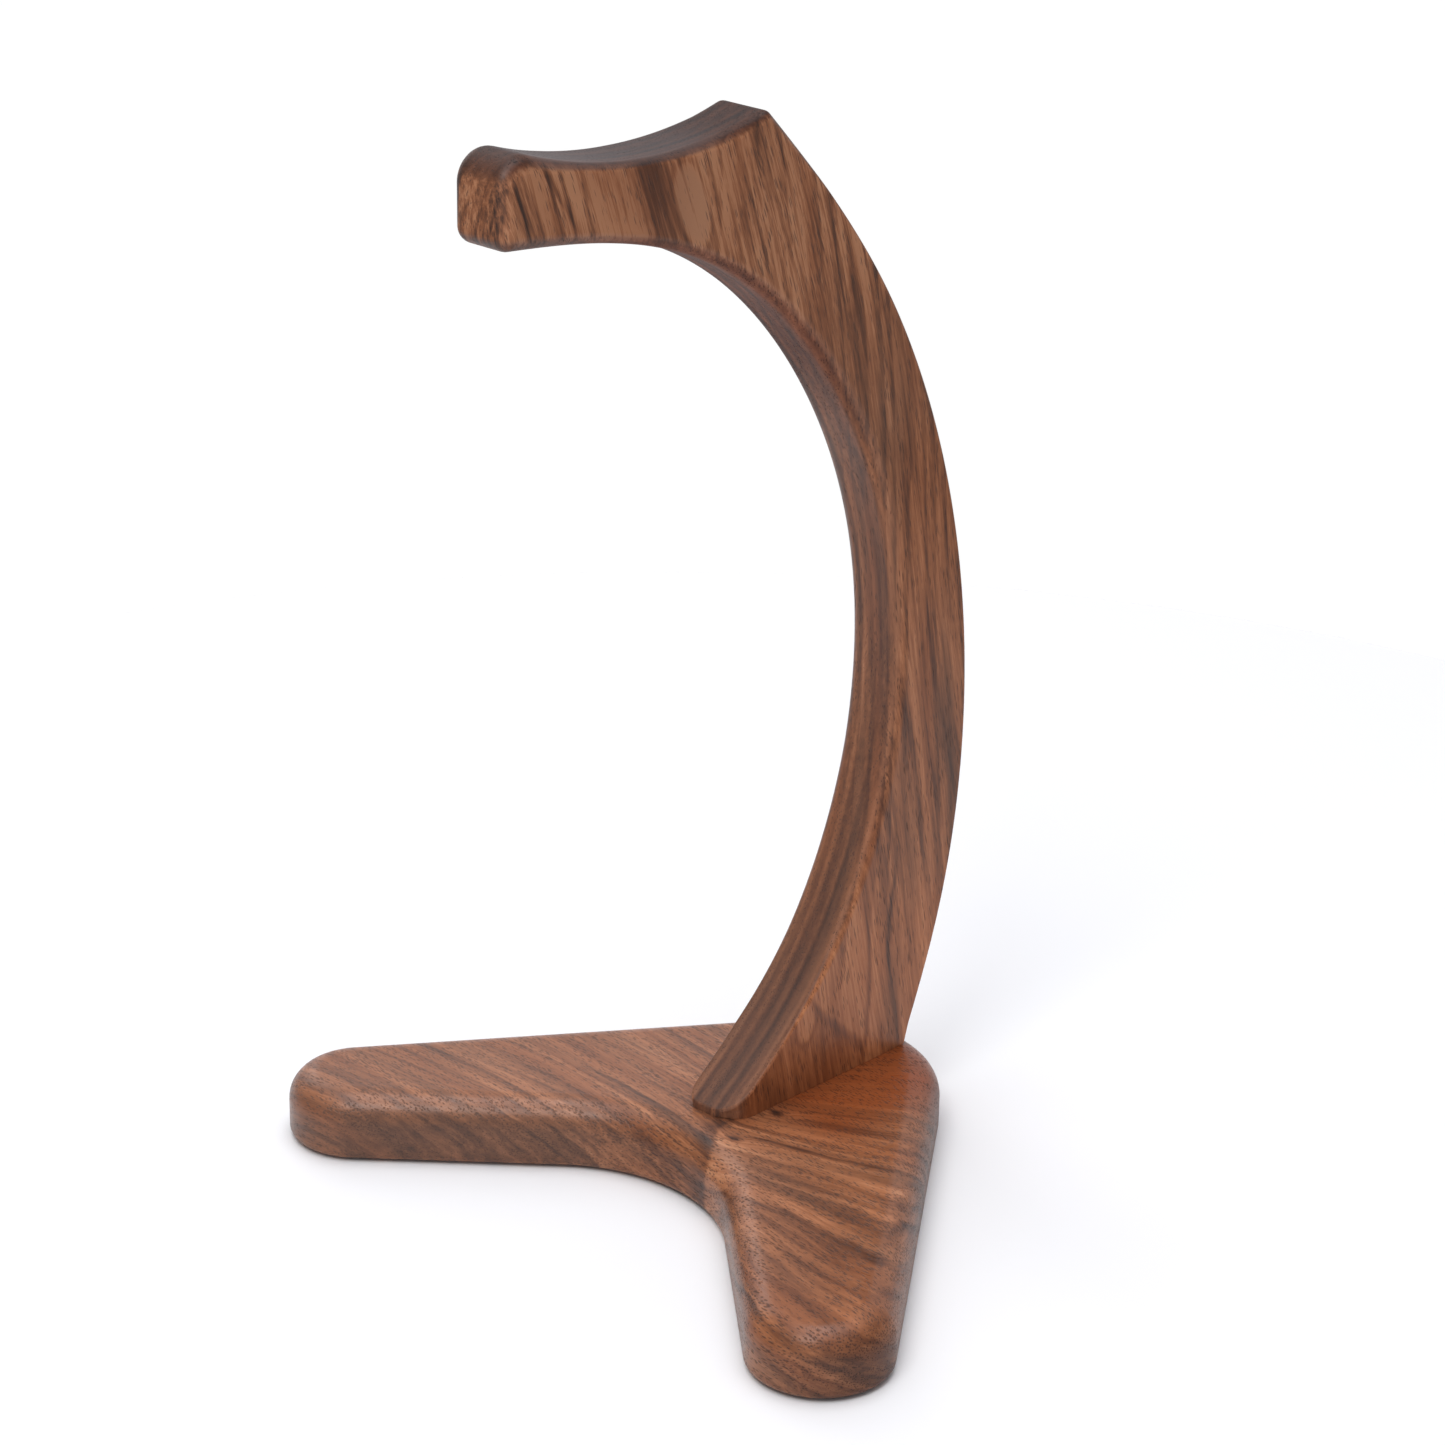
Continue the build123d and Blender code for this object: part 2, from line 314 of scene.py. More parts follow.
def add_arm_sides(verts, faces, chains, inset):
    """Fills the board's two flat sides with grids between the chains; inset is the flats' outline."""
    count = len(inset)
    starts = np.cumsum([0] + [len(points) - 1 for points, _ in chains])
    outer, nose, inner, foot = [np.arange(starts[k], starts[k + 1] + 1) % count for k in range(4)]
    inner, foot = inner[::-1], foot[::-1]
    grid = fill_between(inset[outer], inset[inner], inset[foot], inset[nose])
    rows, columns = grid.shape[:2]
    for x, ring_end in ((-HALF, 0), (HALF, RING_POINTS - 1)):
        ids = np.zeros((rows, columns), int)
        ids[:, 0] = outer * RING_POINTS + ring_end
        ids[:, -1] = inner * RING_POINTS + ring_end
        ids[0, :] = foot * RING_POINTS + ring_end
        ids[-1, :] = nose * RING_POINTS + ring_end
        for i in range(1, rows - 1):
            for j in range(1, columns - 1):
                ids[i, j] = len(verts)
                verts.append((x, *grid[i, j]))
        for i in range(rows - 1):
            for j in range(columns - 1):
                face = (ids[i, j], ids[i + 1, j], ids[i + 1, j + 1], ids[i, j + 1])
                faces.append(face if x > 0 else face[::-1])


def round_toe(verts):
    """Rounds the toe's corners in plan: its sides close in on a circle towards the front."""
    for radius, side in ((TOE_PLAN_R, verts[:, 0] > 0), (TOE_FAR_R, verts[:, 0] < 0)):
        toe = side & (verts[:, 1] < TOE_Y + radius) & (verts[:, 2] < BASE_TOP + TOE_REACH)
        reach = TOE_Y + radius - verts[toe, 1]
        verts[toe, 0] *= (HALF - radius + np.sqrt(np.maximum(radius ** 2 - reach ** 2, 0))) / HALF


def build_arm(material):
    chains = arm_chains()
    loop = np.vstack([points[:-1] for points, _ in chains])
    radii = np.concatenate([radii[:-1] for _, radii in chains])
    inward = inward_steps(loop)
    verts, faces = arm_rings(loop, inward, radii)
    add_arm_sides(verts, faces, chains, loop + inward * radii[:, None])
    verts = np.array(verts)
    round_toe(verts)
    piece = make_object("walnut_arm", verts, faces, material)
    drill(piece, [(0, y, BASE_TOP - 1, BASE_TOP + INSERT_DEPTH, INSERT_R) for y in BOLT_PLACES]
          + [(0, y, BASE_TOP - 1, BASE_TOP + DOWEL_DEPTH, DOWEL_HOLE_R) for y in DOWEL_PLACES])
    finish_normals(piece)
    return piece


# ---------------------------------------------------------------- base
RUNGS = 26                  # faces from the outer chain to the inner one, on the flat top and bottom


def base_chains():
    """Outline of the base as two chains of (points, outward normals) from the left tip to the right tip."""
    heel, tip, crotch = np.array([0, HEEL_Y]), np.array([TIP_X, TIP_Y]), np.array([0, CROTCH_Y])
    span, gap = tip - heel, crotch - tip
    outer = math.atan2(span[1], span[0]) + math.pi / 2 - math.asin((HEEL_R - TIP_R) / np.linalg.norm(span))
    inner = math.atan2(gap[1], gap[0]) + math.acos((TIP_R + CROTCH_R) / np.linalg.norm(gap))
    inner -= 2 * math.pi if inner > outer else 0
    end = (outer + inner) / 2
    crotch_from = inner + math.pi

    def turning(centre, radius, first, last, count, sign=1):
        angles = np.linspace(first, last, count + 1)
        normals = np.column_stack([np.cos(angles), np.sin(angles)])
        return np.array(centre) + radius * normals, normals * sign

    def straight(start, finish, angle, count):
        points = start + (finish - start) * np.linspace(0, 1, count + 1)[:, None]
        return points, np.tile([math.cos(angle), math.sin(angle)], (count + 1, 1))

    tip_out = turning(tip, TIP_R, end, outer, 26)
    heel_arc = turning(heel, HEEL_R, outer, math.pi / 2, 30)
    side = straight(tip_out[0][-1], heel_arc[0][0], outer, 96)
    tip_in = turning(tip, TIP_R, end, inner, 26)
    crotch_arc = turning(crotch, CROTCH_R, crotch_from, math.pi / 2, 46, sign=-1)
    leg = straight(tip_in[0][-1], crotch_arc[0][0], inner, 80)
    chains = []
    for parts in ((tip_out, side, heel_arc), (tip_in, leg, crotch_arc)):
        points = np.vstack([parts[0][0]] + [p[0][1:] for p in parts[1:]])
        normals = np.vstack([parts[0][1]] + [p[1][1:] for p in parts[1:]])
        mirror = np.array([-1, 1])
        chains.append((np.vstack([points, (points * mirror)[::-1][1:]]),
                       np.vstack([normals, (normals * mirror)[::-1][1:]])))
    return chains


def base_levels():
    """The base's section, from the flat bottom's edge up to the flat top's: (inset, height) of each ring."""
    wall_low = BASE_BOTTOM + BASE_BOTTOM_ROUND
    wall_high = BASE_TOP - BASE_TOP_ROUND
    low = [(BASE_BOTTOM_ROUND * (1 - math.sin(a)), BASE_BOTTOM + BASE_BOTTOM_ROUND * (1 - math.cos(a)))
           for a in np.linspace(0, math.pi / 2, 6)]
    wall = [(0, z) for z in np.linspace(wall_low, wall_high, 7)[1:-1]]
    high = [(BASE_TOP_ROUND * (1 - math.cos(a)), wall_high + BASE_TOP_ROUND * math.sin(a))
            for a in np.linspace(0, math.pi / 2, 15)]
    return low + wall + high


def add_base_flat(verts, faces, first, count, half, upward):
    """Closes the flat inside one ring, from its point number first, with rungs between its two chains."""
    outer_ids = first + np.arange(half)
    inner_ids = first + np.concatenate([[0], np.arange(count - 1, half - 1, -1), [half - 1]])
    previous = [outer_ids[0]] * (RUNGS + 1)
    for i in range(1, half):
        if i == half - 1:
            current = [outer_ids[-1]] * (RUNGS + 1)
        else:
            a, b = np.array(verts[outer_ids[i]]), np.array(verts[inner_ids[i]])
            current = [outer_ids[i]] + list(range(len(verts), len(verts) + RUNGS - 1)) + [inner_ids[i]]
            verts += [tuple(a + (b - a) * k / RUNGS) for k in range(1, RUNGS)]
        for k in range(RUNGS):
            corners = (previous[k], previous[k + 1], current[k + 1], current[k])
            face = tuple(dict.fromkeys(int(v) for v in corners))
            faces.append(face if upward else face[::-1])
        previous = current


def build_base(material):
    (outer, outer_n), (inner, inner_n) = base_chains()
    loop = np.vstack([outer, inner[::-1][1:-1]])
    normals = np.vstack([outer_n, inner_n[::-1][1:-1]])
    count, half = len(loop), len(outer)

    levels = base_levels()
    top = len(levels) - 1
    verts = [(*(point - normal * inset), z) for inset, z in levels for point, normal in zip(loop, normals)]
    faces = []
    for level in range(top):
        for i in range(count):
            a, b = level * count + i, level * count + (i + 1) % count
            faces.append((a, b, b + count, a + count))
    add_base_flat(verts, faces, 0, count, half, upward=False)
    add_base_flat(verts, faces, top * count, count, half, upward=True)

    piece = make_object("walnut_base", np.array(verts), faces, material)
    holes = [(0, y, BASE_BOTTOM - 5, BASE_TOP + 5, BOLT_HOLE_R) for y in BOLT_PLACES]
    holes += [(0, y, BASE_BOTTOM - 5, BASE_BOTTOM + COUNTERBORE_DEPTH, COUNTERBORE_R) for y in BOLT_PLACES]
    holes += [(0, y, BASE_TOP - DOWEL_DEPTH, BASE_TOP + 5, DOWEL_HOLE_R) for y in DOWEL_PLACES]
    holes += [(x, y, BASE_BOTTOM - 5, BASE_BOTTOM + PAD_RECESS, PAD_HOLE_R) for x, y in PAD_PLACES]
    drill(piece, holes)
    finish_normals(piece)
    return piece


# ---------------------------------------------------------------- node graphs
class Value:
    """A shader value; arithmetic on it adds Math nodes."""

    def __init__(self, graph, socket):
        self.graph, self.socket = graph, socket

    def _math(self, operation, *others):
        node = self.graph.node("ShaderNodeMath", operation=operation)
        for slot, other in zip(node.inputs, (self,) + others):
            self.graph.put(slot, other)
        return Value(self.graph, node.outputs[0])

    def __add__(self, other):
        return self._math("ADD", other)

    def __radd__(self, other):
        return self._math("ADD", other)

    def __sub__(self, other):
        return self._math("SUBTRACT", other)

    def __rsub__(self, other):
        return self._math("MULTIPLY", -1.0)._math("ADD", other)

    def __mul__(self, other):
        return self._math("MULTIPLY", other)

    def __truediv__(self, other):
        return self._math("DIVIDE", other)

    def above(self, other):
        """The larger of the two."""
        return self._math("MAXIMUM", other)

    def below(self, other):
        """The smaller of the two."""
        return self._math("MINIMUM", other)

    def fract(self):
        return self._math("FRACT")

    def exp(self):
        return self._math("EXPONENT")

    def plus(self, other):
        """Sum of two vectors."""
        node = self.graph.node("ShaderNodeVectorMath", operation="ADD")
        for slot, value in zip(node.inputs, (self, other)):
            self.graph.put(slot, value)
        return Value(self.graph, node.outputs[0])

    def bump(self, centre, width):
        """A bell curve of this value."""
        shift = (self - centre) / width
        return (shift * shift * -1.0).exp()

    def soft_above(self, start, width):
        """0 below start, then a straight rise, with a soft knee."""
        shift = (self - start) / width
        return (shift + (shift * shift + 1.0)._math("SQRT")) * (width / 2)


class Graph:
    """Short names for building one material's nodes."""

    def __init__(self, name):
        self.material = bpy.data.materials.new(name)
        self.material.use_nodes = True
        self.tree = self.material.node_tree
        self.tree.nodes.clear()
        self.shader = self.node("ShaderNodeBsdfPrincipled")
        output = self.node("ShaderNodeOutputMaterial")
        self.tree.links.new(self.shader.outputs[0], output.inputs["Surface"])

    def node(self, kind, **settings):
        node = self.tree.nodes.new(kind)
        for key, value in settings.items():
            setattr(node, key, value)
        return node

    def put(self, slot, value):
        if isinstance(value, Value):
            self.tree.links.new(value.socket, slot)
        else:
            slot.default_value = value

    def position(self):
        """x, y and z of the surface point, in millimetres."""
        place = self.node("ShaderNodeTexCoord")
        split = self.node("ShaderNodeSeparateXYZ")
        self.tree.links.new(place.outputs["Object"], split.inputs[0])
        return [Value(self, out) * (1 / MM) for out in split.outputs]

    def vector(self, x, y, z):
        node = self.node("ShaderNodeCombineXYZ")
        for slot, value in zip(node.inputs, (x, y, z)):
            self.put(slot, value)
        return Value(self, node.outputs[0])

    def noise(self, place, detail=2.0, roughness=0.5):
        """Noise from 0 to 1 about 0.5; place is a vector in units of one feature."""
        node = self.node("ShaderNodeTexNoise", noise_dimensions="3D", normalize=True)
        self.put(node.inputs["Vector"], place)
        node.inputs["Scale"].default_value = 1.0
        node.inputs["Detail"].default_value = detail
        node.inputs["Roughness"].default_value = roughness
        return Value(self, node.outputs["Fac"])

    def spots(self, place):
        """Distance to the nearest of random points, one per unit cell."""
        node = self.node("ShaderNodeTexVoronoi", voronoi_dimensions="3D", feature="F1")
        self.put(node.inputs["Vector"], place)
        node.inputs["Scale"].default_value = 1.0
        return Value(self, node.outputs["Distance"])

    def smooth(self, value, low, high, to_low=0.0, to_high=1.0):
        """Smooth step of value from low..high to to_low..to_high; low may be the larger of its two."""
        node = self.node("ShaderNodeMapRange", interpolation_type="SMOOTHSTEP")
        for slot, item in zip(node.inputs, (value, low, high, to_low, to_high)):
            self.put(slot, item)
        return Value(self, node.outputs[0])

    def ramp(self, value, stops):
        """Colour ramp from (place, colour) stops."""
        node = self.node("ShaderNodeValToRGB")
        elements = node.color_ramp.elements
        while len(elements) < len(stops):
            elements.new(0.5)
        for element, (place, colour) in zip(elements, stops):
            element.position = place
            element.color = (*colour, 1.0)
        self.put(node.inputs[0], value)
        return Value(self, node.outputs["Color"])

    def facing(self, direction):
        """How squarely the surface faces along or against a direction, 0 to 1, by its own normal."""
        place = self.node("ShaderNodeTexCoord")
        dot = self.node("ShaderNodeVectorMath", operation="DOT_PRODUCT")
        self.tree.links.new(place.outputs["Normal"], dot.inputs[0])
        dot.inputs[1].default_value = direction
        return Value(self, dot.outputs["Value"])._math("ABSOLUTE")

    def mix(self, amount, first, second, blend="MIX"):
        """Two colours mixed; blend MULTIPLY stains the first with the second."""
        node = self.node("ShaderNodeMix", data_type="RGBA", blend_type=blend, clamp_factor=True)
        self.put(node.inputs[0], amount)
        for slot, value in ((node.inputs[6], first), (node.inputs[7], second)):
            if isinstance(value, Value):
                self.tree.links.new(value.socket, slot)
            else:
                slot.default_value = (*value, 1.0)
        return Value(self, node.outputs[2])

    def relief(self, height, distance, strength, under=None):
        """Bump from a height of 0 to 1, over a distance in millimetres, on top of the one under it."""
        node = self.node("ShaderNodeBump")
        node.inputs["Strength"].default_value = strength
        node.inputs["Distance"].default_value = distance * MM
        self.put(node.inputs["Height"], height)
        if under is not None:
            self.put(node.inputs["Normal"], under)
        return Value(self, node.outputs[0])


# ---------------------------------------------------------------- materials
PORE_COLOUR = (0.028, 0.014, 0.010)
WALNUT_TONES = [(0.0, (0.028, 0.014, 0.010)), (0.22, (0.076, 0.030, 0.017)), (0.42, (0.165, 0.062, 0.030)),
                (0.60, (0.270, 0.102, 0.045)), (0.80, (0.400, 0.158, 0.072)), (1.0, (0.530, 0.240, 0.120))]
RED_WALNUT = (0.31, 0.092, 0.030)
GREY_WALNUT = (0.14, 0.076, 0.048)
YEAR = 4.6                  # millimetres from one growth ring to the next
PORE_CELL = 0.55            # room of one pore across the grain, in millimetres


def walnut_shader(graph, across, depth, along, ring, pores, crowding, contrast, tint, washes, matte):
    """Oiled walnut from grain coordinates in millimetres.

    across and depth are the two distances across the grain, along is the distance along it, and ring is
    the distance through the growth rings. pores is a vector in units of one pore's cell, and crowding is
    the range of the pores' radius in those units. contrast scales the figure and tint adds to the tone.
    washes are (amount, colour, blend) layers over parts of the board: stains, painted shade and painted
    sheen; matte adds to the roughness.
    """
    wander = graph.noise(graph.vector(ring / 9.0, depth / 30.0, along / 150.0))
    year = (ring / YEAR + wander * 2.4).fract()
    late = graph.smooth(year, 0.25, 0.88) * graph.smooth(year, 1.0, 0.88)
    patch = graph.noise(graph.vector(ring / 8.0 + 3.0, depth / 25.0, along / 70.0))
    late = late * graph.smooth(patch, 0.33, 0.62, 0.2, 1.0)
    band = graph.noise(graph.vector(ring / 5.0 + 57.0, depth / 40.0, along / 170.0), roughness=0.6)
    streak = graph.noise(graph.vector(across / 2.8, depth / 2.8, along / 95.0), roughness=0.6)
    fine = graph.noise(graph.vector(across / 0.95, depth / 0.95, along / 30.0), roughness=0.6)
    fibre = graph.noise(graph.vector(across / 0.34, depth / 0.34, along / 6.0), roughness=0.7)
    ripple = graph.noise(graph.vector(across / 9.0, depth / 9.0, along / 3.2), detail=1.0)

    figure = (band - 0.5) * 1.05 + (streak - 0.5) * 0.85 + (ripple - 0.5) * 0.10 - late * 0.34
    figure = figure + (fine - 0.5) * 1.15 + (fibre - 0.5) * 0.75
    tone = figure * contrast + tint
    colour = graph.ramp(tone * 0.72 + 0.58, WALNUT_TONES)
    hue = graph.noise(graph.vector(ring / 6.0 + 7.0, depth / 18.0, along / 90.0), detail=1.0)
    colour = graph.mix(graph.smooth(hue, 0.5, 0.75, 0.0, 0.30), colour, RED_WALNUT)
    colour = graph.mix(graph.smooth(hue, 0.46, 0.25, 0.0, 0.25), colour, GREY_WALNUT)

    # open pores: thin dark tubes along the grain
    wobble = graph.noise(graph.vector(across / 1.4, depth / 1.4, along / 9.0))
    tubes = graph.spots(graph.vector(wobble, wobble, 0.0).plus(pores))
    groups = graph.noise(graph.vector(ring / 1.6, depth / 4.0, along / 22.0))
    reach = graph.smooth(groups, 0.32, 0.66, *crowding)
    pore = graph.smooth(tubes, reach, reach * 0.5)
    colour = graph.mix(pore * 0.62, colour, PORE_COLOUR)
    for amount, stain, blend in washes:
        colour = graph.mix(amount, colour, stain, blend)

    graph.put(graph.shader.inputs["Base Color"], colour)
    sheen = graph.smooth(fibre, 0.2, 0.8, 0.31, 0.41)
    graph.put(graph.shader.inputs["Roughness"], sheen + pore * 0.2 + matte)
    graph.shader.inputs["IOR"].default_value = 1.45
    graph.shader.inputs["Specular IOR Level"].default_value = 0.38
    relief = graph.relief(fibre, 0.03, 0.5)
    relief = graph.relief(pore * -1.0, 0.06, 0.7, under=relief)
    graph.put(graph.shader.inputs["Normal"], relief)
    return graph.material


def tongue(across, along, centre, width, length):
    """A long bell-shaped patch in the figure, with its middle at centre."""
    first = (across - centre[0]) / width
    second = (along - centre[1]) / length
    return (first * first * -1.0 - second * second).exp()


def outline(graph, hill, level, light, dark):
    """A light patch inside a hill's contour, with a soft dark line along the contour."""
    inside = graph.smooth(hill, level, level + 0.30)
    rim = graph.smooth(hill, level - 0.20, level) * graph.smooth(hill, level + 0.16, level)
    return inside * light - rim * dark


# the arm's growth rings: arcs of this radius, which reach furthest right at this distance across the grain
RING_R = 90.0
RING_MIDDLE = 25.0
# stripes of the saddle's side: distance from the nose's face, width, and strength; below 0 is dark
BROAD_STRIPE = (50.0, 5.2, -0.60)
SADDLE_STRIPES = [(3.5, 1.8, 0.15), (6.5, 0.7, -0.40), (10.8, 0.8, -0.45), (13.6, 1.6, 0.18),
                  (16.6, 1.0, -0.50), (21.0, 0.7, -0.40), (23.9, 1.5, 0.20), (26.8, 0.8, -0.50),
                  (31.0, 2.2, 0.22), (38.5, 4.5, 0.18), BROAD_STRIPE, (69.0, 0.8, -0.45),
                  (78.0, 6.0, 0.12), (87.0, 0.8, -0.40)]
# contours of the oval beside them, on a hill that is 1 at its top
OVAL_EDGE, OVAL_INSIDE = 0.36, 0.66
# streaks of the foot's side: middle (y, z), lean, half width, half length, and strength
FOOT_STREAKS = [((60.5, 100.0), -0.35, 2.2, 8.0, 0.16), ((64.0, 118.0), -0.27, 1.5, 13.0, -0.45),
                ((69.5, 104.0), -0.22, 1.9, 34.0, 0.34), ((79.0, 112.0), -0.20, 0.9, 16.0, -0.42),
                ((76.0, 98.0), -0.25, 0.8, 12.0, -0.34), ((83.5, 99.0), -0.20, 0.8, 10.0, -0.30),
                ((73.0, 136.0), -0.22, 0.9, 14.0, -0.34), ((82.0, 128.0), -0.22, 1.5, 18.0, 0.20),
                ((71.0, 85.0), -0.15, 0.8, 14.0, -0.32), ((66.0, 60.0), -0.20, 0.8, 20.0, -0.26),
                ((39.0, 57.5), -0.25, 0.9, 5.0, -0.34), ((36.5, 62.0), -0.25, 0.7, 4.0, -0.24)]
# streaks of the base's right half: middle (x, y), slope, half width, half length, and strength
BASE_STREAKS = [((33.0, 18.0), 0.42, 2.6, 15.0, -0.34), ((28.0, 23.5), 0.58, 0.8, 14.0, -0.26),
                ((37.0, 2.5), 0.30, 1.7, 19.0, -0.40), ((50.0, -12.5), 0.20, 1.1, 22.0, -0.38),
                ((80.0, -45.0), -0.08, 1.6, 18.0, -0.32), ((83.0, -58.0), -0.10, 2.4, 13.0, -0.26),
                ((83.0, -70.0), 0.0, 4.0, 5.0, 0.16), ((40.0, -36.0), -0.20, 5.0, 10.0, 0.12),
                ((30.0, 9.0), 0.35, 1.8, 14.0, 0.18)]
# the two small knots in the base, right of the arm's toe
KNOTS = ((12.6, 10.7), (14.4, -8.2))


def foot_figure(graph, y, z, sway):
    """Figure of the foot's side: light tongues nested side by side, with dark lines between, and streaks."""
    lean = y + (sway - 0.5) * 3.0
    # distances inside the first tongue's slanting front edge, and inside the two tongues' rear edges
    slant = (lean - 28.5) * 0.68 + (z - 44.5) * 0.74
    first = (z - 45.0) * (z - 45.0) * -0.0035 + 51.0 - lean
    top = (z - 80.0).above(0.0)
    second = z.bump(76.0, 9.0) * 2.2 + (50.0 - z).above(0.0) * 0.22 - top * top * 0.012 + 58.0 - lean
    in_first = graph.smooth(slant, 0.0, 1.6) * graph.smooth(first, 0.0, 1.6)
    in_second = graph.smooth(first, 0.0, -1.4) * graph.smooth(second, 0.0, 1.6)
    tint = in_first * graph.smooth(z, 84.0, 66.0) * 0.24
    tint = tint + in_second * graph.smooth(z, 102.0, 92.0) * 0.14
    tint = tint - slant.bump(-0.9, 1.2) * graph.smooth(first, -1.0, 1.0) * graph.smooth(y, 26.0, 32.0) * 0.20
    tint = tint - first.bump(-0.4, 0.8) * z.bump(48.0, 28.0) * 0.22
    tint = tint - second.bump(-0.5, 0.9) * z.bump(62.0, 34.0) * 0.38
    # a small tongue low down, beside the inner curve
    tint = tint + outline(graph, tongue(lean, z, (25.5, 40.5), 4.4, 7.5), 0.42, 0.28, 0.16)
    for place, slope, width, length, strength in FOOT_STREAKS:
        tint = tint + tongue(lean - (z - place[1]) * slope, z, place, width, length) * strength
    return tint


def saddle_figure(graph, from_nose, oval, high):
    """Figure of the saddle's side: stripes where high is 1, and the oval with its dark rim."""
    stripes = sum(from_nose.bump(place, width) * strength for place, width, strength in SADDLE_STRIPES)
    return stripes * high * 1.25 + outline(graph, oval, OVAL_EDGE, 0.22, 0.34)


def core_layers(graph, x, y, z, core, sway):
    """Tint of the layers that run along the board's edge faces, in the core between its sides."""
    layers = graph.noise(graph.vector(x / 2.0 + 5.0, y / 150.0, z / 150.0), detail=1.0)
    wave = x + (sway - 0.5) * 1.6
    dark = wave.bump(-5.2, 1.3) + wave.bump(-0.9, 1.4) + wave.bump(3.0, 1.0)
    return core * ((layers - 0.5) * 0.9 - dark * 0.26)


def nose_figure(graph, x, y, z, nose):
    """End grain of the nose: blotches, and two darker upright bands."""
    blotch = graph.noise(graph.vector(x / 2.6, y / 3.0, z / 8.0), detail=3.0, roughness=0.65)
    bands = 0.16 - x.bump(-6.5, 2.0) * 0.2 - x.bump(5.5, 1.5) * 0.2
    return (blotch - 0.5) * graph.smooth(y, -79.0, -85.0) * 0.45 + nose * bands


def walnut_for_arm():
    """A flat-sawn board whose grain leans forward: about 11 degrees low down and 20 degrees at the saddle.

    The growth rings graze the board's sides at the toe. The right side also has the tongues, the stripes
    and the oval.
    """
    graph = Graph("walnut_arm")
    x, y, z = graph.position()
    bend = (z - 190.0).above(0.0)
    across = y + z * 0.20 + bend * bend * 0.00085
    drift = graph.noise(graph.vector(across / 26.0, x / 26.0, z / 110.0))
    sway = graph.noise(graph.vector(across / 7.0 + 11.0, x / 7.0, z / 38.0))
    across = across + (drift - 0.5) * 7.0 + (sway - 0.5) * 1.4
    off_middle = across - RING_MIDDLE
    ring = x + off_middle * off_middle * (0.5 / RING_R) - z * 0.10
    along = z * 1.02 - y * 0.2

    # parts of the board, 1 inside: its right side, the nose's face, the core and the saddle
    near_side = graph.smooth(x, 8.0, 9.15)
    nose = graph.smooth(y, -82.0, -85.5)
    core = graph.smooth(x, 8.8, 7.2) * graph.smooth(x, -9.1, -7.6) * graph.smooth(y, -84.0, -76.0)
    high = graph.smooth(z, 232.0, 262.0)
    # how squarely a face cuts the grain and lies level, and the saddle's top and underside
    cut = graph.facing((0.0, -0.28, 0.96))
    level = graph.facing((0.0, 0.0, 1.0))
    cap = graph.smooth(level, 0.12, 0.55) * graph.smooth(z, 272.0, 284.0)
    # under: faces that look down beneath the saddle; their colour is darkened below as painted shade, and
    # they are made matter
    under = graph.smooth(level, 0.10, 0.45) * graph.smooth(z, 195.0, 235.0) * graph.smooth(z, 284.0, 272.0)

    from_nose = y - NOSE_Y + (z - 288.0) * 0.31 + (sway - 0.5) * 2.0
    oval = tongue(from_nose, z, (60.8, 280.0), 6.0, 12.0)
    light = graph.smooth(z, 185.0, 225.0, 0.09, 0.17) + graph.smooth(z, 235.0, 265.0, 0.0, 0.30)
    light = light - z.bump(104.0, 32.0) * 0.12 + graph.smooth(z, 90.0, 50.0, 0.0, 0.12)
    side = saddle_figure(graph, from_nose, oval, high) + foot_figure(graph, y, z, sway) + light
    tint = side * near_side + core_layers(graph, x, y, z, core, sway) + nose_figure(graph, x, y, z, nose)

    # painted sheen: a little grey mixed into the saddle's top, where it reflects the bright backdrop
    saddle_painted_sheen = cap * graph.smooth(y, -5.0, -25.0) * graph.smooth(y, -82.0, -70.0) * 0.08
    broad_stripe = from_nose.bump(BROAD_STRIPE[0], 5.5) * high * near_side * 0.8
    inside_oval = graph.smooth(oval, OVAL_EDGE, OVAL_INSIDE) * near_side * 0.28
    washes = [(cap, (0.33, 0.29, 0.31), "MULTIPLY"),
              # painted shade on the faces that look down under the saddle
              (under, (0.60, 0.50, 0.50), "MULTIPLY"),
              (saddle_painted_sheen, (0.36, 0.39, 0.40), "MIX"),
              # painted sheen: a grey mix on the core's faces below the saddle, strongest low down
              (core * graph.smooth(z, 190.0, 80.0) * 0.10, (0.30, 0.22, 0.19), "MIX"),
              (near_side * graph.smooth(z, 215.0, 175.0), (1.0, 0.95, 0.88), "MULTIPLY"),
              (near_side * graph.smooth(z, 80.0, 50.0), (1.0, 0.93, 0.86), "MULTIPLY"),
              (near_side.above(nose) * graph.smooth(z, 190.0, 215.0) * 0.10, (0.34, 0.20, 0.14), "MIX"),
              (broad_stripe, (0.64, 0.68, 0.76), "MULTIPLY"),
              (inside_oval, (0.34, 0.185, 0.115), "MIX"),
              (graph.smooth(cut, 0.52, 1.0), (0.64, 0.64, 0.66), "MULTIPLY")]
    pores = graph.vector(across / PORE_CELL, x / PORE_CELL, along / 6.0)
    contrast = graph.smooth(cut, 0.3, 0.9, 1.0, 0.45) * graph.smooth(z, 225.0, 255.0, 1.0, 1.65)
    contrast = contrast * (1.0 - core * 0.45) * (1.0 - near_side * graph.smooth(z, 150.0, 115.0) * 0.2)
    matte = graph.smooth(cut, 0.5, 1.0) * 0.15 + under * 0.25
    return walnut_shader(graph, across, x, along, ring, pores, (0.15, 0.42), contrast, tint, washes, matte)


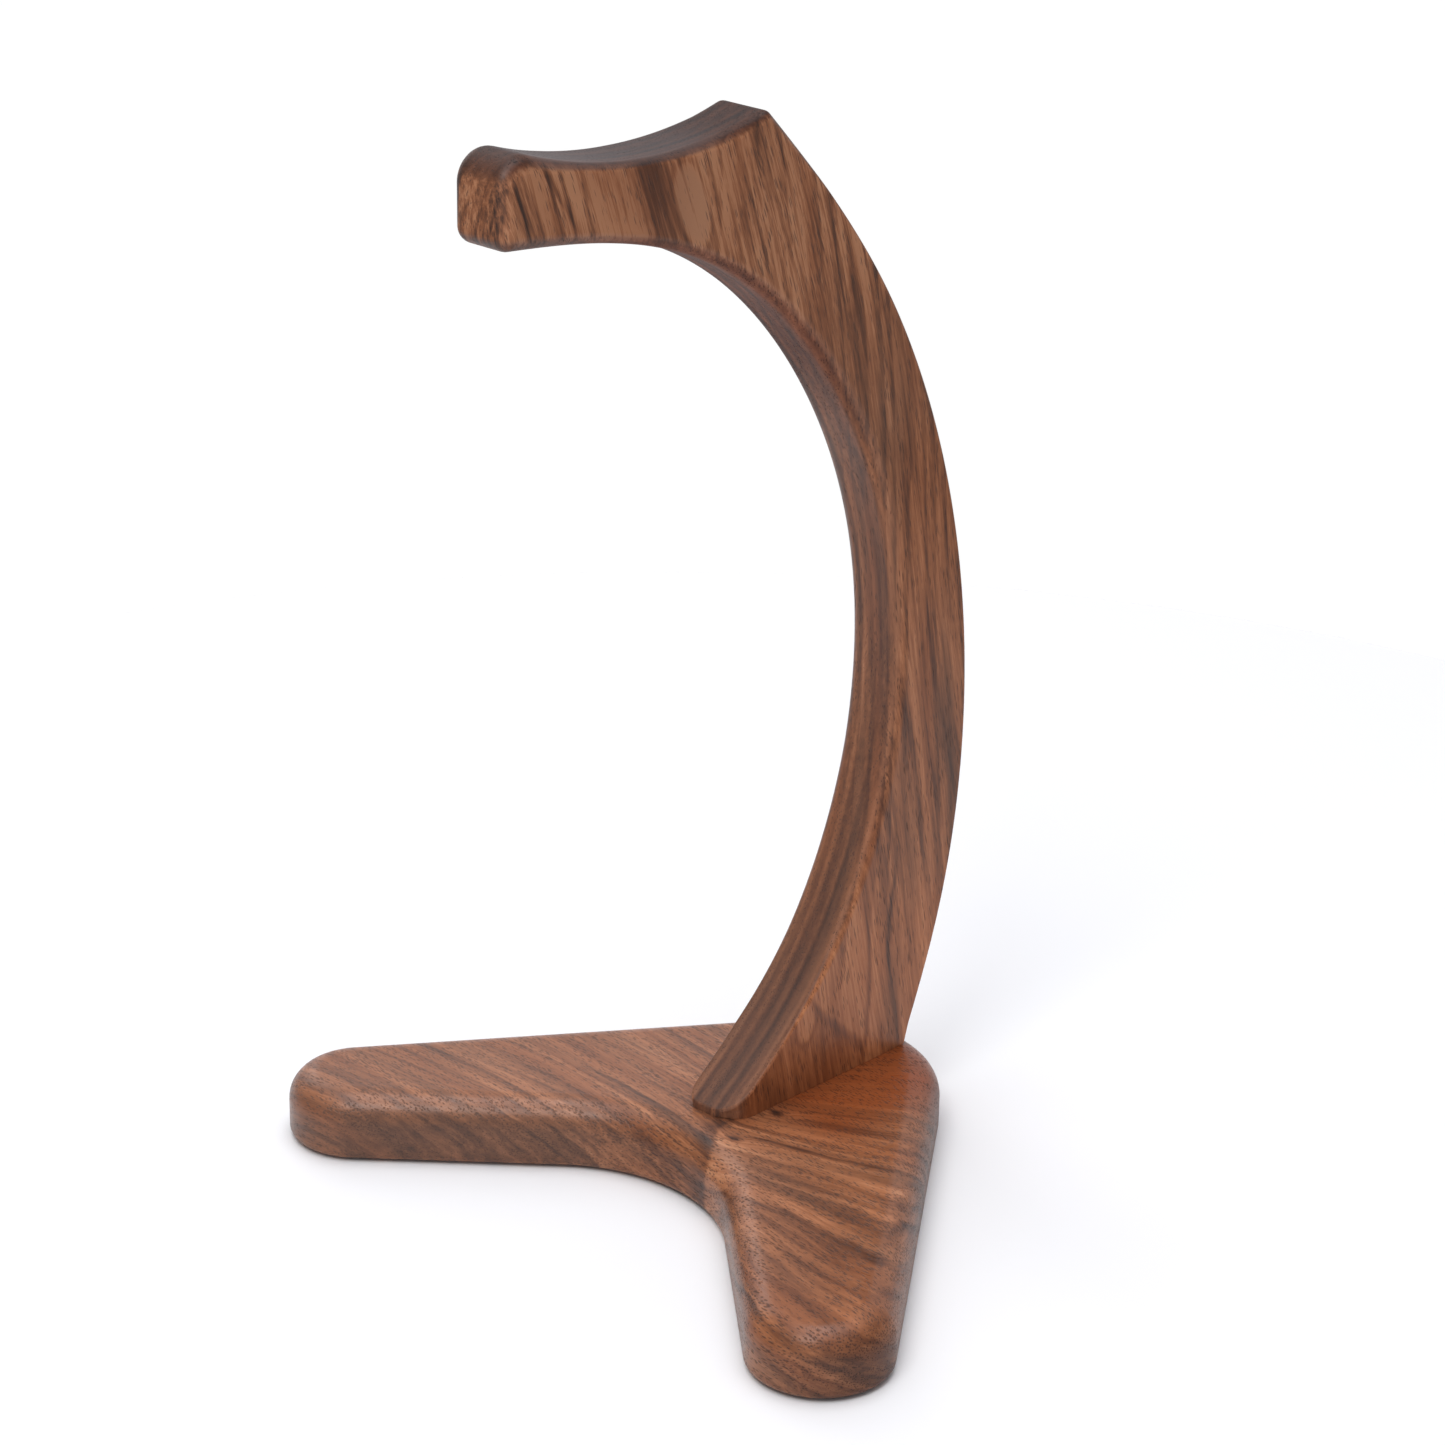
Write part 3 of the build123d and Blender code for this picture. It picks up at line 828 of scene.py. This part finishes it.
def walnut_for_base():
    """Grain runs across the base from side to side, dips to the crotch and lifts past two small knots."""
    graph = Graph("walnut_base")
    x, y, z = graph.position()
    # the grain turns at the kink, a bent line from the toe to the crotch
    kink = x - 7.8 - ((y + 7.1) * -0.62).above(0.0).below(6.8)
    past = kink.soft_above(0.0, 3.0)
    before = x - past
    across = (y - past * 0.38) / (past * 0.015 + 1.0)
    across = across - before * 0.03 + (before + 52.0).soft_above(0.0, 12.0) * 0.14
    across = across + (before + 10.0).soft_above(0.0, 6.0) * 0.20
    drift = graph.noise(graph.vector(x / 90.0, across / 24.0, z / 30.0))
    sway = graph.noise(graph.vector(x / 30.0 + 5.0, across / 8.0, z / 8.0))
    across = across + (drift - 0.5) * 9.0 + (sway - 0.5) * 2.4

    # the tone changes at the kink and from leg to leg
    front = graph.smooth(y, 4.0, -8.0)
    tint = graph.smooth(kink, -9.0, -1.0) * graph.smooth(kink, 0.5, -1.5) * front * -0.32
    tint = tint + graph.smooth(kink, -1.0, 1.5) * kink.bump(5.0, 8.0) * front * 0.28
    tint = tint + graph.smooth(x, 10.0, -30.0, -0.01, 0.02) + graph.smooth(x, 55.0, 75.0, 0.0, -0.10)
    tint = tint + graph.smooth(x, -55.0, -80.0, 0.0, -0.07) + graph.smooth(x, 7.0, 16.0) * 0.11
    for place, slope, width, length, strength in BASE_STREAKS:
        tint = tint + tongue(y - (x - place[0]) * slope, x, (place[1], place[0]), width, length) * strength
    for place in KNOTS:
        tint = tint - tongue(x, y, place, 2.0, 1.3) * 0.8
        across = across + tongue(x, y, place, 7.0, 4.0) * 1.8
    ring = across * 0.76 + (z - BASE_TOP) * 0.62
    depth = (z * 0.76 - across * 0.62) / 3.2

    # parts of the board, 1 inside: the heel's right side beside the arm, the end grain and the walls; the
    # heel gets painted shade and bounce light, the walls painted shade
    heel = graph.smooth(x, -6.0, 9.0) * graph.smooth(y, 4.0, 20.0) * graph.smooth(x, 46.0, 26.0)
    cut = graph.facing((1.0, 0.0, 0.0))
    end_grain = graph.smooth(cut, 0.35, 1.0)
    wall = graph.smooth(graph.facing((0.0, 0.0, 1.0)), 0.85, 0.30)
    # painted light: the left half's level faces lighter than its walls
    tint = tint + graph.smooth(x, 5.0, -20.0) * (1.0 - wall) * 0.07
    # painted shade and painted bounce light: the heel's top beside the arm, where the arm blocks the light
    # from the left, made darker and more orange
    washes = [(heel * 0.9, (0.86, 0.56, 0.34), "MULTIPLY"),
              (end_grain * graph.smooth(x, 60.0, 80.0, 1.0, 0.55), (0.33, 0.35, 0.40), "MULTIPLY"),
              # painted shade: the left half's walls darker than its top
              (wall * graph.smooth(x, -5.0, -30.0) * 0.6, (0.78, 0.77, 0.75), "MULTIPLY"),
              (graph.smooth(x, 0.0, -30.0, 0.0, 0.14), (0.34, 0.215, 0.165), "MIX")]
    contrast = graph.smooth(x, -75.0, -20.0, 0.75, 0.95) - heel * 0.60 - graph.smooth(x, 5.0, 20.0) * 0.15
    pores = graph.vector((y + x * 0.1) / PORE_CELL, z / PORE_CELL, x / 2.6)
    matte = graph.smooth(cut, 0.5, 1.0) * 0.15 - 0.05
    return walnut_shader(graph, ring, depth, x, ring, pores, (0.29, 0.54), contrast, tint, washes, matte)


def turned_metal(name, colour, roughness, scale):
    """Plated or brushed metal: fine turning marks round the axis, and a few cloudy stains."""
    graph = Graph(name)
    x, y, z = graph.position()
    marks = graph.noise(graph.vector(x / 0.6, y / 0.6, z / scale))
    cloud = graph.noise(graph.vector(x / 3.0, y / 3.0, z / 3.0))
    stained = tuple(0.62 * part for part in colour)
    stains = graph.smooth(cloud + marks * 0.4, 0.45, 0.95)
    graph.put(graph.shader.inputs["Base Color"], graph.mix(stains, colour, stained))
    graph.put(graph.shader.inputs["Roughness"], graph.smooth(cloud, 0.3, 0.7, roughness, roughness + 0.14))
    graph.shader.inputs["Metallic"].default_value = 1.0
    graph.put(graph.shader.inputs["Normal"], graph.relief(marks, 0.02, 0.6))
    return graph.material


def felt_material():
    """Dark brown wool felt: matted fibres lying every way."""
    graph = Graph("felt")
    x, y, z = graph.position()
    twist = graph.noise(graph.vector(x / 1.2, y / 1.2, z / 1.2), detail=1.0) * 3.0
    strands = graph.vector(x / 0.16 + twist * 4.0, y / 0.5 + twist, z / 0.3)
    fibres = graph.noise(strands, detail=3.0, roughness=0.7)
    clumps = graph.noise(graph.vector(x / 1.6, y / 1.6, z / 1.0))
    tones = [(0.3, (0.020, 0.014, 0.011)), (0.55, (0.060, 0.042, 0.033)), (0.75, (0.125, 0.095, 0.078))]
    colour = graph.ramp(fibres * 0.7 + clumps * 0.3, tones)
    graph.put(graph.shader.inputs["Base Color"], colour)
    graph.put(graph.shader.inputs["Roughness"], graph.smooth(clumps, 0.2, 0.8, 0.88, 1.0))
    graph.shader.inputs["Sheen Weight"].default_value = 0.4
    graph.put(graph.shader.inputs["Normal"], graph.relief(fibres, 0.25, 0.9))
    return graph.material


def beech_material():
    """Pale beech of the dowels: straight grain along the dowel, with short dark flecks."""
    graph = Graph("beech")
    x, y, z = graph.position()
    grain = graph.noise(graph.vector(x / 0.7, y / 0.7, z / 16.0), detail=3.0)
    flecks = graph.spots(graph.vector(x / 0.9, y / 0.9, z / 3.0))
    tones = [(0.3, (0.36, 0.22, 0.13)), (0.5, (0.50, 0.33, 0.20)), (0.7, (0.60, 0.43, 0.28))]
    colour = graph.ramp(grain, tones)
    colour = graph.mix(graph.smooth(flecks, 0.22, 0.12) * 0.5, colour, (0.20, 0.11, 0.06))
    graph.put(graph.shader.inputs["Base Color"], colour)
    graph.put(graph.shader.inputs["Roughness"], graph.smooth(grain, 0.2, 0.8, 0.5, 0.65))
    graph.put(graph.shader.inputs["Normal"], graph.relief(grain, 0.05, 0.5))
    return graph.material


# ---------------------------------------------------------------- assemble
def place_wood(piece, node):
    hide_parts(node)
    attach(piece, "root")


def set_material(kind, material):
    """CAD nodes keep their shape and get a better material."""
    for name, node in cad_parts.items():
        if name.startswith(kind):
            for slot in node.material_slots:
                slot.material = material


place_wood(build_arm(walnut_for_arm()), "arm")
place_wood(build_base(walnut_for_base()), "base")
steel = turned_metal("zinc_plated_steel", (0.58, 0.60, 0.63), 0.26, 4.0)
set_material("arm_bolt", steel)
set_material("bolt_washer", steel)
set_material("threaded_insert", turned_metal("insert_brass", (0.74, 0.52, 0.24), 0.28, 0.5))
set_material("locating_dowel", beech_material())
set_material("foot_pad", felt_material())


# ---------------------------------------------------------------- stage, light and camera
FLOOR_R = 0.48              # metres; beyond it everything is as white as the lit floor
FLOOR_SIDES = 96
FLOOR_WHITE = (0.885, 0.885, 0.887)
# the studio's light: towards, brightness and narrowness; up, away from the camera, right, towards it, left
SKY = [((0.0, 0.0, 1.0), 3.6, 9.0), ((-0.69, 0.73, 0.0), 0.85, 2.0), ((0.73, 0.69, 0.0), 0.15, 2.0),
       ((0.69, -0.73, 0.0), 0.62, 2.0), ((-0.73, -0.69, 0.0), 0.15, 2.0)]
SKY_COLOUR = (0.985, 0.99, 1.04, 1.0)
BACKDROP_STRENGTH = 1.01
# soft boxes: place and size in metres, power in watts
SOFT_BOXES = [((0.31, -0.93, 1.4), 0.6, 7.5), ((-0.1, 0.11, 1.5), 0.6, 2.1), ((-1.3, 0.3, 0.9), 0.8, 3.0)]
LIT_POINT = (0.0, 0.0, 0.1)
# the camera: angles in degrees from the front to the right, up and rolled; distances in metres
CAMERA_AZIMUTH, CAMERA_ELEVATION, CAMERA_ROLL = 43.44, 22.29, 0.98
CAMERA_AIM = (0.0, -0.0002, 0.1342)
CAMERA_DISTANCE = 1.0567
CAMERA_LENS = 100.1         # millimetres, on a 36 mm wide sensor


def build_floor():
    rim = [(x, y, 0.0) for x, y in full_circle((0.0, 0.0), FLOOR_R, FLOOR_SIDES)]
    paint = Graph("floor_white")
    paint.shader.inputs["Base Color"].default_value = (*FLOOR_WHITE, 1.0)
    paint.shader.inputs["Roughness"].default_value = 0.6
    mesh = bpy.data.meshes.new("floor")
    mesh.from_pydata(rim, [], [tuple(range(FLOOR_SIDES))])
    mesh.materials.append(paint.material)
    floor = bpy.data.objects.new("floor", mesh)
    bpy.context.scene.collection.objects.link(floor)


def soft_box(place, size, power):
    """A square light that faces the object."""
    data = bpy.data.lights.new("soft_box", "AREA")
    data.shape = "SQUARE"
    data.size = size
    data.energy = power
    light = bpy.data.objects.new("soft_box", data)
    light.location = place
    light.rotation_euler = (Vector(LIT_POINT) - Vector(place)).to_track_quat("-Z", "Y").to_euler()
    bpy.context.scene.collection.objects.link(light)


def build_world():
    """A white studio: soft light from each side in SKY. The camera sees plain white behind the object."""
    world = bpy.data.worlds.new("studio")
    world.use_nodes = True
    tree = world.node_tree
    tree.nodes.clear()

    def node(kind, **settings):
        made = tree.nodes.new(kind)
        for key, value in settings.items():
            setattr(made, key, value)
        return made

    def math_node(operation, first, second):
        made = node("ShaderNodeMath", operation=operation)
        for slot, value in zip(made.inputs, (first, second)):
            if isinstance(value, float):
                slot.default_value = value
            else:
                tree.links.new(value, slot)
        return made.outputs[0]

    place = node("ShaderNodeTexCoord")
    total = 0.0
    for direction, strength, narrow in SKY:
        dot = node("ShaderNodeVectorMath", operation="DOT_PRODUCT")
        tree.links.new(place.outputs["Generated"], dot.inputs[0])
        dot.inputs[1].default_value = Vector(direction).normalized()
        facing = math_node("MAXIMUM", dot.outputs["Value"], 0.0)
        total = math_node("ADD", math_node("MULTIPLY", math_node("POWER", facing, narrow), strength), total)
    light = node("ShaderNodeBackground")
    light.inputs["Color"].default_value = SKY_COLOUR
    tree.links.new(total, light.inputs["Strength"])
    backdrop = node("ShaderNodeBackground")
    backdrop.inputs["Color"].default_value = (1.0, 1.0, 1.0, 1.0)
    backdrop.inputs["Strength"].default_value = BACKDROP_STRENGTH
    rays = node("ShaderNodeLightPath")
    pick = node("ShaderNodeMixShader")
    tree.links.new(rays.outputs["Is Camera Ray"], pick.inputs[0])
    tree.links.new(light.outputs[0], pick.inputs[1])
    tree.links.new(backdrop.outputs[0], pick.inputs[2])
    tree.links.new(pick.outputs[0], node("ShaderNodeOutputWorld").inputs["Surface"])
    bpy.context.scene.world = world


def build_camera():
    """A long lens, 43 degrees to the right of the front and 22 degrees above, rolled by one degree."""
    azimuth, elevation, roll = np.radians((CAMERA_AZIMUTH, CAMERA_ELEVATION, CAMERA_ROLL))
    away = Vector((math.sin(azimuth) * math.cos(elevation), -math.cos(azimuth) * math.cos(elevation),
                   math.sin(elevation)))
    right = (-away).cross(Vector((0, 0, 1))).normalized()
    up = right.cross(-away)
    right, up = right * math.cos(roll) + up * math.sin(roll), up * math.cos(roll) - right * math.sin(roll)
    data = bpy.data.cameras.new("camera")
    data.sensor_width = 36.0
    data.lens = CAMERA_LENS
    data.clip_end = 50.0
    camera = bpy.data.objects.new("camera", data)
    place = Vector(CAMERA_AIM) + away * CAMERA_DISTANCE
    camera.matrix_world = Matrix.Translation(place) @ Matrix((right, up, away)).transposed().to_4x4()
    bpy.context.scene.collection.objects.link(camera)
    bpy.context.scene.camera = camera


build_floor()
build_world()
for place, size, power in SOFT_BOXES:
    soft_box(place, size, power)
build_camera()
bpy.context.scene.view_settings.view_transform = "Standard"
